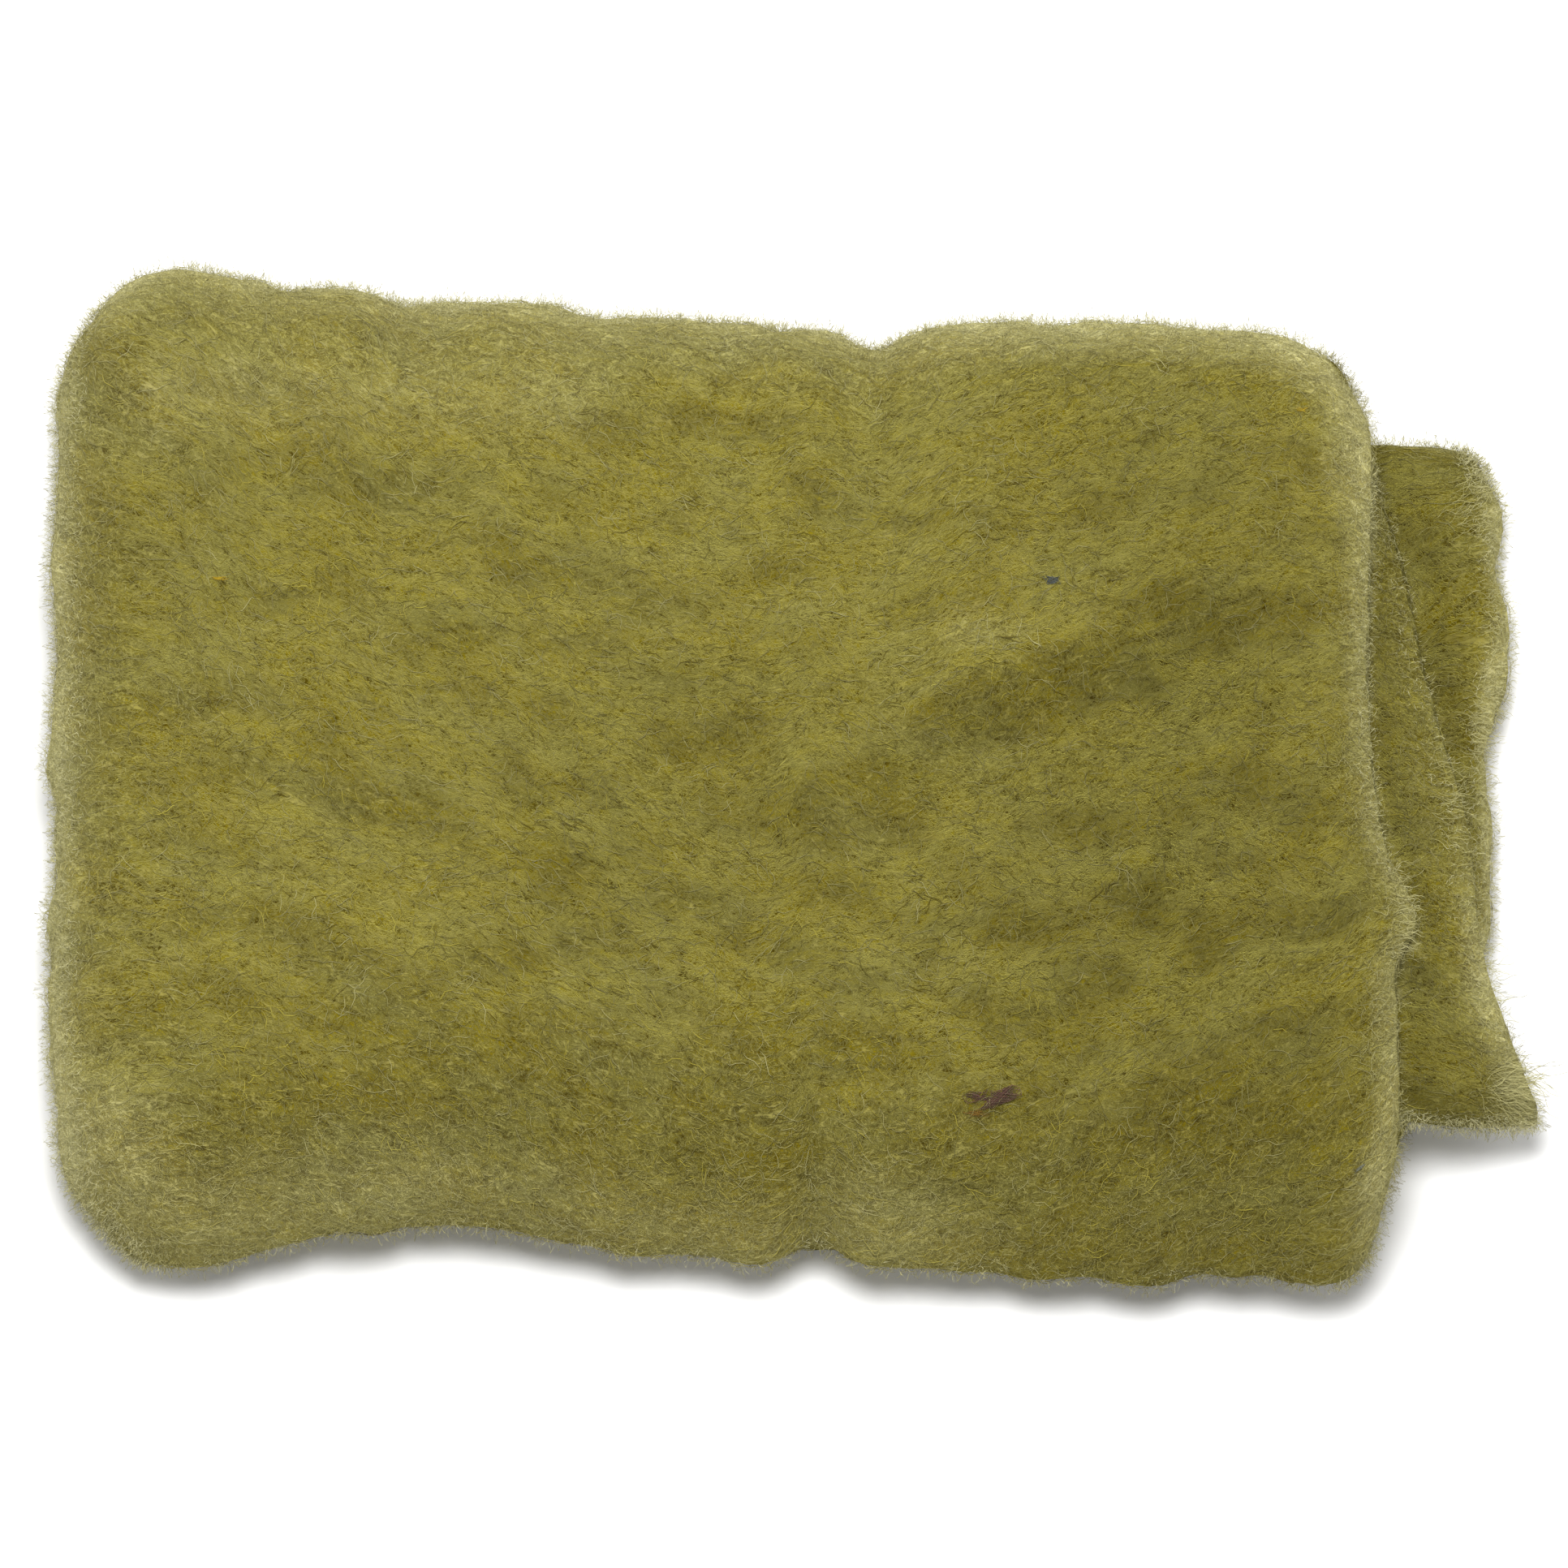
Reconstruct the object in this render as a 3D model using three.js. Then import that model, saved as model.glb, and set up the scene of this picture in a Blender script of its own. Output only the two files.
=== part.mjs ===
// A folded batt of carded wool lying on a table: one long, lofty sheet of loose fibres, with no weave and no seams.
// From its raw right-hand end the top layer runs left and turns under in the big left-hand fold. It comes back along
// the table as the bottom layer, turns up in the right-hand fold, and runs left again as the third layer. The small
// inner fold then turns it up into the second layer, whose torn tongue sticks out on the right, past the top layer.
// Millimetres, with +X along the folded batt, +Y to its back and +Z up. The origin is on the table, under the middle
// of the folded body. Every layer's front and back edges follow the lines of the tables below.
import * as THREE from "three";
import { ParametricGeometry } from "three/addons/geometries/ParametricGeometry.js";

// The sheet
const LOFT = 12.2; // thickness of one layer
const AIR = 0.8; // air between two layers
const HALF = LOFT / 2;
const EDGE_ROUNDING = 7; // width of the soft, rounded rim along the front and back edges
const LEVEL_SHARE = 0.7; // share of the rows across the sheet that lie on its level part
const QUARTER = Math.PI / 2;

// The folds, each the mid-line's reach in X at its widest
const OUTER_FOLD_REACH = 15;
const INNER_FOLD_REACH = 6.5;
const INNER_FOLD_X = -90; // where the inner fold starts to turn
const RIGHT_FOLD_REACH = 6.5;
const FOLD_SQUEEZE = 0.36; // share of the half thickness lost on the inside of a fold
const SQUEEZE_STARTS = 0.08; // of a run's length before the fold

// The four layers, from the table up. rise: the layers beneath it. inset: how far its edges stand in from its outline.
// margin: the strip along those edges that hangs down, and drop: how far the edge hangs.
const TOP = { rise: 3, inset: 3, margin: 24, drop: 30 };
const SECOND = { rise: 2, inset: 0, margin: 13, drop: 1.5 };
const THIRD = { rise: 1, inset: 0, margin: 13, drop: 0 };
const BOTTOM = { rise: 0, inset: 0, margin: 12, drop: 0 };

// Front and back edge of the top layer, seen from above
TOP.outline = [
  { x: -112, back: 88, front: -82.5 },
  { x: -100, back: 95.5, front: -87.3 },
  { x: -82, back: 92, front: -83.3 },
  { x: -71, back: 93, front: -81.4 },
  { x: -60, back: 89, front: -80.2 },
  { x: -42, back: 89, front: -79 },
  { x: -25, back: 86.8, front: -81.8 },
  { x: -7, back: 85.5, front: -84.8 },
  { x: 6, back: 84, front: -86.4 },
  { x: 14, back: 84.7, front: -83.4 },
  { x: 27, back: 82, front: -85.6 },
  { x: 40, back: 85.6, front: -87 },
  { x: 70, back: 84.8, front: -88 },
  { x: 95, back: 82.3, front: -89 },
  { x: 104, back: 78.8, front: -89 },
  { x: 116, back: 73.5, front: -85 },
];
// The bottom and third layers narrow at the back of their right-hand fold
BOTTOM.outline = [
  { x: -112, back: 86, front: -79 },
  { x: -75, back: 85, front: -76 },
  { x: -42, back: 82, front: -73 },
  { x: -7, back: 79, front: -78 },
  { x: 27, back: 76.5, front: -80 },
  { x: 70, back: 78, front: -80.5 },
  { x: 98, back: 72, front: -81.5 },
  { x: 114, back: 67.5, front: -82.5 },
  { x: 140, back: 67, front: -83 },
];
THIRD.outline = [
  { x: -100, back: 76, front: -69 },
  { x: -75, back: 79.5, front: -70 },
  { x: -60, back: 77, front: -68.5 },
  { x: -42, back: 76.5, front: -67 },
  { x: -7, back: 73.3, front: -72.5 },
  { x: 14, back: 71.8, front: -70.5 },
  { x: 27, back: 70, front: -73.5 },
  { x: 70, back: 72.5, front: -75.5 },
  { x: 95, back: 68.5, front: -77.7 },
  { x: 114, back: 65.5, front: -80.5 },
  { x: 140, back: 65, front: -81 },
];
// The second layer is the narrowest, and its tongue is pulled in at both sides
SECOND.outline = [
  { x: -100, back: 70, front: -63 },
  { x: -75, back: 71, front: -61.4 },
  { x: -60, back: 68.4, front: -59.5 },
  { x: -42, back: 68, front: -58 },
  { x: -7, back: 64.5, front: -63.5 },
  { x: 14, back: 63, front: -61.5 },
  { x: 27, back: 61.3, front: -65 },
  { x: 70, back: 64, front: -67 },
  { x: 95, back: 60.3, front: -67 },
  { x: 116, back: 57, front: -63 },
  { x: 141, back: 58, front: -61.5 },
];

// How far right each end and fold reaches, from the front of the batt to its back
const TOP_END = [
  { y: -90, x: 108 },
  { y: -75, x: 115 },
  { y: -58, x: 116 },
  { y: -43, x: 116 },
  { y: -33, x: 119.5 },
  { y: -20, x: 114.5 },
  { y: 7, x: 112 },
  { y: 52, x: 113.5 },
  { y: 64, x: 112 },
  { y: 78, x: 103 },
];
const TONGUE_END = [
  { y: -61, x: 141.5 },
  { y: -54, x: 138.5 },
  { y: -46, x: 135 },
  { y: -33, x: 131.5 },
  { y: -13, x: 130 },
  { y: 17, x: 123 },
  { y: 40, x: 119 },
  { y: 60, x: 113 },
];
const RIGHT_FOLD = [
  { y: -84, x: 107.5 },
  { y: -72, x: 113.5 },
  { y: -58, x: 120.5 },
  { y: -44, x: 127.5 },
  { y: -28, x: 134 },
  { y: 0, x: 135 },
  { y: 20, x: 136 },
  { y: 34, x: 140 },
  { y: 44, x: 138 },
  { y: 54, x: 138 },
  { y: 62, x: 136 },
];
const LEFT_FOLD = [
  { y: -88, x: -114.5 },
  { y: -75, x: -115.6 },
  { y: -55, x: -118.4 },
  { y: 0, x: -119.5 },
  { y: 60, x: -120.7 },
  { y: 92, x: -119.5 },
];

// The tongue sags where it passes the right-hand fold under it
const SAG_STARTS = 11; // short of the fold's reach
const SAG_ENDS = 24; // past the fold's reach
const TONGUE_SAG = 11;

// How round the raw ends are, measured back from the end
const TOP_END_ROUNDING = 9;
const TONGUE_END_ROUNDING = 14;

// The main ridges and troughs of the top layer: straight lines from (x1, y1) to (x2, y2), with their height and width
const CREASES = [
  { x1: 12, y1: -8, x2: 80, y2: 27, height: 3.2, width: 8 },
  { x1: 46, y1: -2, x2: 92, y2: 13, height: -3.4, width: 9 },
  { x1: 76, y1: 20, x2: 88, y2: 18, height: -1.6, width: 6 },
  { x1: -40, y1: 47, x2: -12, y2: 66, height: 1.8, width: 8 },
  { x1: -26, y1: 52, x2: -4, y2: 60, height: -1.6, width: 7 },
  { x1: 84, y1: -45, x2: 112, y2: -37, height: -2.2, width: 6 },
  { x1: 84, y1: -53, x2: 118, y2: -43, height: 1.8, width: 6 },
  { x1: 24, y1: 84, x2: 22, y2: 56, height: -2.4, width: 9 },
  { x1: 14, y1: -86, x2: 16, y2: -58, height: -2.4, width: 8 },
  { x1: -90, y1: -30, x2: -30, y2: -52, height: 1.4, width: 12 },
  { x1: -70, y1: -56, x2: 0, y2: -66, height: -1.4, width: 10 },
];
// The gentle lumps that cover it: wavelengths in X and Y, and height
const LUMPS = [
  { waveX: 83, waveY: 61, phase: 0.7, height: 0.8 },
  { waveX: 47, waveY: 74, phase: 2.1, height: 0.6 },
  { waveX: 38, waveY: 33, phase: 4.4, height: 0.45 },
];

// The sheet's course from one raw end to the other, with the number of steps along each stage. The outer face is the
// one on top of the top layer, and each fold has the outer or the inner face on its inside.
const COURSE = [
  { run: TOP, steps: 31 },
  { fold: [TOP, BOTTOM], steps: 9, reach: OUTER_FOLD_REACH, inside: "inner" },
  { run: BOTTOM, steps: 13 },
  { fold: [BOTTOM, THIRD], steps: 7, reach: RIGHT_FOLD_REACH, inside: "inner" },
  { run: THIRD, steps: 11 },
  { fold: [THIRD, SECOND], steps: 7, reach: INNER_FOLD_REACH, inside: "outer" },
  { run: SECOND, steps: 16 },
];
const STEPS_ALONG = COURSE.reduce((sum, stage) => sum + stage.steps, 0);
const ROWS_ACROSS = 28; // on each face of the sheet

const { lerp, clamp, smoothstep } = THREE.MathUtils;

// A smooth line through a table's rows, read at one value of its key column
function read(rows, key, column, at) {
  const last = rows.length - 1;
  const inside = clamp(at, rows[0][key], rows[last][key]);
  const i = Math.min(rows.findLastIndex((row) => row[key] <= inside), last - 1);
  const [p, q] = [rows[i], rows[i + 1]];
  const slopeAt = (k) => {
    const [a, b] = [rows[Math.max(k - 1, 0)], rows[Math.min(k + 1, last)]];
    return (b[column] - a[column]) / (b[key] - a[key]);
  };
  const span = q[key] - p[key];
  const t = (inside - p[key]) / span;
  const blend = t * t * (3 - 2 * t);
  return (
    lerp(p[column], q[column], blend) +
    span * t * (1 - t) * (slopeAt(i) * (1 - t) - slopeAt(i + 1) * t)
  );
}

// across runs from -1 at the front edge to 1 at the back edge. A layer's cross-section there: its y and z at one x.
function place(layer, x, across) {
  const back = read(layer.outline, "x", "back", x) - layer.inset - layer.margin;
  const front = read(layer.outline, "x", "front", x) + layer.inset + layer.margin;
  const level = clamp(across / LEVEL_SHARE, -1, 1);
  const turn = QUARTER * Math.max(0, (Math.abs(across) - LEVEL_SHARE) / (1 - LEVEL_SHARE));
  return {
    y: lerp(front, back, (level + 1) / 2) + Math.sign(across) * layer.margin * Math.sin(turn),
    z: HALF + layer.rise * (LOFT + AIR) - layer.drop * (1 - Math.cos(turn)),
  };
}

// Where a run ends on the right, and where each fold starts to turn, at one place across the sheet
const NEAR_RIGHT = 112;
const NEAR_LEFT = -100;
const topEnd = (across) => read(TOP_END, "y", "x", place(TOP, NEAR_RIGHT, across).y);
const tongueEnd = (across) => read(TONGUE_END, "y", "x", place(SECOND, NEAR_RIGHT, across).y);
const rightFoldReach = (y) => read(RIGHT_FOLD, "y", "x", y);
const rightTurn = (across) =>
  rightFoldReach(place(BOTTOM, NEAR_RIGHT, across).y) - RIGHT_FOLD_REACH - HALF;
const leftTurn = (across) =>
  read(LEFT_FOLD, "y", "x", place(TOP, NEAR_LEFT, across).y) + OUTER_FOLD_REACH + HALF;
const innerTurn = () => INNER_FOLD_X;

// The left-hand and right-hand limits of each layer's run
TOP.limits = [leftTurn, topEnd];
BOTTOM.limits = [leftTurn, rightTurn];
THIRD.limits = [innerTurn, rightTurn];
SECOND.limits = [innerTurn, tongueEnd];
const goesLeft = (layer) => layer === TOP || layer === THIRD;

function tongueSag(x, y) {
  const reach = rightFoldReach(y);
  return TONGUE_SAG * smoothstep(x, reach - SAG_STARTS, reach + SAG_ENDS);
}

// A point of the sheet's mid-surface. along counts whole stages, so 2.5 is half-way through the third one.
function middle(along, across, target) {
  const stageNumber = clamp(Math.floor(along), 0, COURSE.length - 1);
  const { run, fold, reach } = COURSE[stageNumber];
  const t = along - stageNumber;
  if (run) {
    const [left, right] = run.limits.map((limit) => limit(across));
    const x = goesLeft(run) ? lerp(right, left, t) : lerp(left, right, t);
    const { y, z } = place(run, x, across);
    const sag = run === SECOND ? tongueSag(x, y) : 0;
    return target.set(x, y, z - sag);
  }
  const [from, to] = fold;
  const atRight = !goesLeft(from);
  const turnX = from.limits[atRight ? 1 : 0](across);
  const [a, b] = [place(from, turnX, across), place(to, turnX, across)];
  const levelPart = place(to, turnX, 0).z - place(from, turnX, 0).z;
  const size = (reach * (b.z - a.z)) / levelPart; // a fold between hanging edges is smaller
  const angle = Math.PI * t;
  return target.set(
    turnX + (atRight ? 1 : -1) * size * Math.sin(angle),
    lerp(a.y, b.y, smoothstep(t, 0, 1)),
    (a.z + b.z) / 2 + ((a.z - b.z) / 2) * Math.cos(angle),
  );
}

const NUDGE = 1e-3; // step for the mid-surface's slopes
const [before, after, slopeAlong, slopeAcross] = [0, 0, 0, 0].map(() => new THREE.Vector3());
function normalAt(along, across, target) {
  const most = COURSE.length - NUDGE;
  const s = clamp(along, NUDGE, most);
  const u = clamp(across, NUDGE - 1, 1 - NUDGE);
  slopeAlong.subVectors(middle(s + NUDGE, u, after), middle(s - NUDGE, u, before));
  slopeAcross.subVectors(middle(s, u + NUDGE, after), middle(s, u - NUDGE, before));
  return target.crossVectors(slopeAcross, slopeAlong).normalize();
}

// 0 at a rim, rising like a quarter circle to 1 at the rounding's full width
const rounded = (distance, rounding) => {
  const short = clamp(1 - distance / rounding, 0, 1);
  return Math.sqrt(1 - short * short);
};

function relief(x, y) {
  const lumps = LUMPS.map(({ waveX, waveY, phase, height }) => {
    const [ax, ay] = [(2 * Math.PI * x) / waveX, (2 * Math.PI * y) / waveY];
    return height * Math.sin(ax + phase) * Math.cos(ay - phase);
  });
  const creases = CREASES.map(({ x1, y1, x2, y2, height, width }) => {
    const [dx, dy] = [x2 - x1, y2 - y1];
    const t = clamp(((x - x1) * dx + (y - y1) * dy) / (dx * dx + dy * dy), 0, 1);
    const away = Math.hypot(x - x1 - t * dx, y - y1 - t * dy) / width;
    return height * Math.exp(-away * away);
  });
  return [...lumps, ...creases].reduce((sum, part) => sum + part, 0);
}

// How far a face is inside a fold, from 0 to 1
function insideFold(stageNumber, t, face) {
  const insideAt = (i) => COURSE[i]?.inside === face;
  if (COURSE[stageNumber].fold) return insideAt(stageNumber) ? 1 : 0;
  const fromLastFold = insideAt(stageNumber - 1) ? 1 - smoothstep(t, 0, SQUEEZE_STARTS) : 0;
  const toNextFold = insideAt(stageNumber + 1) ? smoothstep(t, 1 - SQUEEZE_STARTS, 1) : 0;
  return Math.max(fromLastFold, toNextFold);
}

// Half the sheet's thickness at one place, on its outer or its inner face
const MARGIN_LENGTH_SHARE = 0.8; // of margin plus drop, about the length of the strip's curve
function thickness(along, across, point, face) {
  const stageNumber = clamp(Math.floor(along), 0, COURSE.length - 1);
  const { run, fold } = COURSE[stageNumber];
  const t = along - stageNumber;
  const widthOf = ({ margin, drop }) => Math.max(margin, MARGIN_LENGTH_SHARE * (margin + drop));
  const strip = run ? widthOf(run) : lerp(widthOf(fold[0]), widthOf(fold[1]), t);
  const toEdge = (strip * (1 - Math.abs(across))) / (1 - LEVEL_SHARE);
  const rim = rounded(toEdge, EDGE_ROUNDING);
  const half = HALF * rim * (1 - FOLD_SQUEEZE * insideFold(stageNumber, t, face));
  if (run === SECOND) return half * rounded(tongueEnd(across) - point.x, TONGUE_END_ROUNDING);
  if (run !== TOP) return half;
  const awayFromEnds = smoothstep(t, 0, 0.06) * smoothstep(1 - t, 0, 0.08);
  const raised = face === "outer" ? relief(point.x, point.y) * awayFromEnds * rim : 0;
  return (half + raised) * rounded(topEnd(across) - point.x, TOP_END_ROUNDING);
}

// Closer steps towards the raw ends and towards the front and back edges, where the sheet is rounded
const closerToEnd = (t) => 1 - Math.pow(1 - t, 1.45);
function alongAt(share) {
  let step = share * STEPS_ALONG;
  for (let i = 0; i < COURSE.length; i++) {
    const { steps } = COURSE[i];
    if (step <= steps || i === COURSE.length - 1) {
      const t = clamp(step / steps, 0, 1);
      if (i === 0) return 1 - closerToEnd(1 - t);
      if (i === COURSE.length - 1) return i + closerToEnd(t);
      return i + t;
    }
    step -= steps;
  }
}
function acrossAt(row) {
  const straight = 2 * row - 1;
  const size = Math.abs(straight);
  if (size <= LEVEL_SHARE * 0.7) return straight / 0.7;
  const t = (size - LEVEL_SHARE * 0.7) / (1 - LEVEL_SHARE * 0.7);
  return Math.sign(straight) * (LEVEL_SHARE + (1 - LEVEL_SHARE) * (1 - Math.pow(1 - t, 1.5)));
}

// The skin goes once round the sheet: over its outer face from front to back, and under its inner face to the front
const FLAT_ON_TABLE = 0.08; // anything lower than this lies on the table
const normal = new THREE.Vector3();
function skin(round, share, target) {
  const outer = round < 0.5;
  const row = outer ? 2 * round : 2 - 2 * round;
  const [along, across] = [alongAt(share), acrossAt(row)];
  middle(along, across, target);
  normalAt(along, across, normal);
  const half = thickness(along, across, target, outer ? "outer" : "inner");
  target.addScaledVector(normal, outer ? half : -half);
  if (target.z < FLAT_ON_TABLE) target.z = 0;
  return target;
}

const batt = new THREE.Mesh(
  new ParametricGeometry(skin, 2 * ROWS_ACROSS, STEPS_ALONG),
  new THREE.MeshStandardMaterial({ color: 0x8a8140, roughness: 1, metalness: 0 }),
);
batt.name = "wool_batt";

const foldedBatt = new THREE.Group();
foldedBatt.add(batt);

export default foldedBatt;
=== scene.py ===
import bpy
import numpy as np
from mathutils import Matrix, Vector


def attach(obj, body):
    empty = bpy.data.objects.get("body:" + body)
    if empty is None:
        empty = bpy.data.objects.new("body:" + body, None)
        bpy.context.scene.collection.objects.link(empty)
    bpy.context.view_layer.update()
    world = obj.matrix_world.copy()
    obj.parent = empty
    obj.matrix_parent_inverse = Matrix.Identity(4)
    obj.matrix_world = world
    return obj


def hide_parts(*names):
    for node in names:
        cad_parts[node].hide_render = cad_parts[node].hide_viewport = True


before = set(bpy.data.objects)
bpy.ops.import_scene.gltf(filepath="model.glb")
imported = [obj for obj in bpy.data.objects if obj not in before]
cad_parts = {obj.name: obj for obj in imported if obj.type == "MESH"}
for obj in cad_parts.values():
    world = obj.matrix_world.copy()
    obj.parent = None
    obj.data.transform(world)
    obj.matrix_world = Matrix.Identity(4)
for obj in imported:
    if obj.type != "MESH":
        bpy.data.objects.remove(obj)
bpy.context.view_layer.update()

# The carded sheet. The real batt is one long, lofty sheet of dyed wool fibres, combed one way by a carder
# and held together by its own crimp, with no weave, backing or stitching. It lies folded over and over on
# itself: the top layer turns under at the left, comes back as the bottom layer, turns up at the right,
# and ends in a torn tongue.
MM = 0.001
LOFT = 12.2
AIR = 0.8
HALF = LOFT / 2
EDGE_ROUNDING = 7
LEVEL_SHARE = 0.7


def table(text):
    """The columns of a small table of numbers, as arrays."""
    return np.array([[float(v) for v in line.split()] for line in text.strip().splitlines()]).T


# x, back edge and front edge of each layer, in mm
top_layer = dict(rise=3, inset=3, margin=24, drop=30, outline=table("""
    -112  88    -82.5
    -100  95.5  -87.3
    -82   92    -83.3
    -71   93    -81.4
    -60   89    -80.2
    -42   89    -79
    -25   86.8  -81.8
    -7    85.5  -84.8
    6     84    -86.4
    14    84.7  -83.4
    27    82    -85.6
    40    85.6  -87
    70    84.8  -88
    95    82.3  -89
    104   78.8  -89
    116   73.5  -85"""))
second_layer = dict(rise=2, inset=0, margin=13, drop=1.5, outline=table("""
    -100  70    -63
    -75   71    -61.4
    -60   68.4  -59.5
    -42   68    -58
    -7    64.5  -63.5
    14    63    -61.5
    27    61.3  -65
    70    64    -67
    95    60.3  -67
    116   57    -63
    141   58    -61.5"""))
third_layer = dict(rise=1, inset=0, margin=13, drop=0, outline=table("""
    -100  76    -69
    -75   79.5  -70
    -60   77    -68.5
    -42   76.5  -67
    -7    73.3  -72.5
    14    71.8  -70.5
    27    70    -73.5
    70    72.5  -75.5
    95    68.5  -77.7
    114   65.5  -80.5
    140   65    -81"""))
bottom_layer = dict(rise=0, inset=0, margin=12, drop=0, outline=table("""
    -112  86    -79
    -75   85    -76
    -42   82    -73
    -7    79    -78
    27    76.5  -80
    70    78    -80.5
    98    72    -81.5
    114   67.5  -82.5
    140   67    -83"""))

# y, and how far right the end or the fold reaches there
top_end = table("""
    -90  108
    -75  115
    -58  116
    -43  116
    -33  119.5
    -20  114.5
    7    112
    52   113.5
    64   112
    78   103""")
tongue_end = table("""
    -61  141.5
    -54  138.5
    -46  135
    -33  131.5
    -13  130
    17   123
    40   119
    60   113""")
right_fold = table("""
    -84  107.5
    -72  113.5
    -58  120.5
    -44  127.5
    -28  134
    0    135
    20   136
    34   140
    44   138
    54   138
    62   136""")
left_fold = table("""
    -88  -114.5
    -75  -115.6
    -55  -118.4
    0    -119.5
    60   -120.7
    92   -119.5""")

# The ridges and troughs of the top layer: from x, y to x, y, height and width
creases = table("""
    12   -8   80   27   3.2   8
    46   -2   92   13   -3.4  9
    76   20   88   18   -1.6  6
    -40  47   -12  66   1.8   8
    -26  52   -4   60   -1.6  7
    84   -45  112  -37  -2.2  6
    84   -53  118  -43  1.8   6
    24   84   22   56   -2.4  9
    14   -86  16   -58  -2.4  8
    -90  -30  -30  -52  1.4   12
    -70  -56  0    -66  -1.4  10""").T
# Wavelength in x and in y, phase and height of its gentle lumps
lumps = table("""
    83  61  0.7  0.8
    47  74  2.1  0.6
    38  33  4.4  0.45""").T

# Where the wool is made paler, or deeper for less than 0, partly as dye and partly as painted light and shade
# on the ridges and troughs: from x, y to x, y, how much and width
dye_and_shade_patches = table("""
    -25  -14  70   -14  -0.3   27
    -100 64   -30  64   0.2    9
    -20  -30  60   -50  -0.15  22
    -20  8    14   8    -0.3   7
    42   18   58   18   0.4    7
    76   8    90   10   -0.3   7
    104  48   108  62   0.4    10
    45   80   95   74   0.25   10
    -35  -75  8    -77  -0.1   12
    -108 -70  -104 -76  0.3    8
    72   -80  112  -80  0.2    9""").T

INNER_FOLD_X = -90
FOLD_SQUEEZE, SQUEEZE_STARTS = 0.36, 0.08
SAG_STARTS, SAG_ENDS, TONGUE_SAG = 11, 24, 11
TOP_END_ROUNDING, TONGUE_END_ROUNDING = 9, 14


def smooth_line(points, at, column=1):
    """A smooth line through a table's points, read at any number of places."""
    key, value = points[0], points[column]
    slope = np.concatenate([
        [(value[1] - value[0]) / (key[1] - key[0])],
        (value[2:] - value[:-2]) / (key[2:] - key[:-2]),
        [(value[-1] - value[-2]) / (key[-1] - key[-2])],
    ])
    at = np.clip(at, key[0], key[-1])
    i = np.clip(np.searchsorted(key, at, side="right") - 1, 0, len(key) - 2)
    span = key[i + 1] - key[i]
    t = (at - key[i]) / span
    between = value[i] + (value[i + 1] - value[i]) * t * t * (3 - 2 * t)
    return between + span * t * (1 - t) * (slope[i] * (1 - t) - slope[i + 1] * t)


def ease(value, low, high):
    t = np.clip((value - low) / (high - low), 0, 1)
    return t * t * (3 - 2 * t)


def cross_section(layer, x, across):
    """y and z of a layer's middle, for across from -1 at the front edge to 1 at the back edge."""
    back = smooth_line(layer["outline"], x, 1) - layer["inset"] - layer["margin"]
    front = smooth_line(layer["outline"], x, 2) + layer["inset"] + layer["margin"]
    level = np.clip(across / LEVEL_SHARE, -1, 1)
    turn = np.pi / 2 * np.maximum(0, (np.abs(across) - LEVEL_SHARE) / (1 - LEVEL_SHARE))
    y = front + (back - front) * (level + 1) / 2 + np.sign(across) * layer["margin"] * np.sin(turn)
    z = HALF + layer["rise"] * (LOFT + AIR) - layer["drop"] * (1 - np.cos(turn))
    return y, z


def left_turn(across):
    return smooth_line(left_fold, cross_section(top_layer, -100, across)[0]) + 15 + HALF


def right_turn(across):
    return smooth_line(right_fold, cross_section(bottom_layer, 112, across)[0]) - 6.5 - HALF


def inner_turn(across):
    return np.full(np.shape(across), float(INNER_FOLD_X))


def top_reach(across):
    return smooth_line(top_end, cross_section(top_layer, 112, across)[0])


def tongue_reach(across):
    return smooth_line(tongue_end, cross_section(second_layer, 112, across)[0])


# The sheet's course: each run along a layer, and each fold from one layer to the next
course = [
    dict(run=top_layer, start=top_reach, end=left_turn),
    dict(fold=(top_layer, bottom_layer), turn=left_turn, side=-1, reach=15, inside="inner"),
    dict(run=bottom_layer, start=left_turn, end=right_turn),
    dict(fold=(bottom_layer, third_layer), turn=right_turn, side=1, reach=6.5, inside="inner"),
    dict(run=third_layer, start=right_turn, end=inner_turn),
    dict(fold=(third_layer, second_layer), turn=inner_turn, side=-1, reach=6.5, inside="outer"),
    dict(run=second_layer, start=inner_turn, end=tongue_reach),
]


def middle(along, across):
    """Points of the sheet's mid-surface. along counts whole stages of the course."""
    points = np.zeros(np.shape(along) + (3,))
    stage_number = np.clip(np.floor(along), 0, len(course) - 1).astype(int)
    for number, stage in enumerate(course):
        here = stage_number == number
        if not here.any():
            continue
        t, u = along[here] - number, across[here]
        if "run" in stage:
            start, end = stage["start"](u), stage["end"](u)
            x = start + (end - start) * t
            y, z = cross_section(stage["run"], x, u)
            if stage["run"] is second_layer:
                fold_reach = smooth_line(right_fold, y)
                z = z - TONGUE_SAG * ease(x, fold_reach - SAG_STARTS, fold_reach + SAG_ENDS)
        else:
            turn_x = stage["turn"](u)
            y_from, z_from = cross_section(stage["fold"][0], turn_x, u)
            y_to, z_to = cross_section(stage["fold"][1], turn_x, u)
            full = (stage["fold"][1]["rise"] - stage["fold"][0]["rise"]) * (LOFT + AIR)
            size = stage["reach"] * (z_to - z_from) / full
            x = turn_x + stage["side"] * size * np.sin(np.pi * t)
            y = y_from + (y_to - y_from) * ease(t, 0, 1)
            z = (z_from + z_to) / 2 + (z_from - z_to) / 2 * np.cos(np.pi * t)
        points[here] = np.stack([x, y, z], -1)
    return points


def rounded(distance, rounding):
    short = np.clip(1 - distance / rounding, 0, 1)
    return np.sqrt(1 - short * short)


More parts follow.
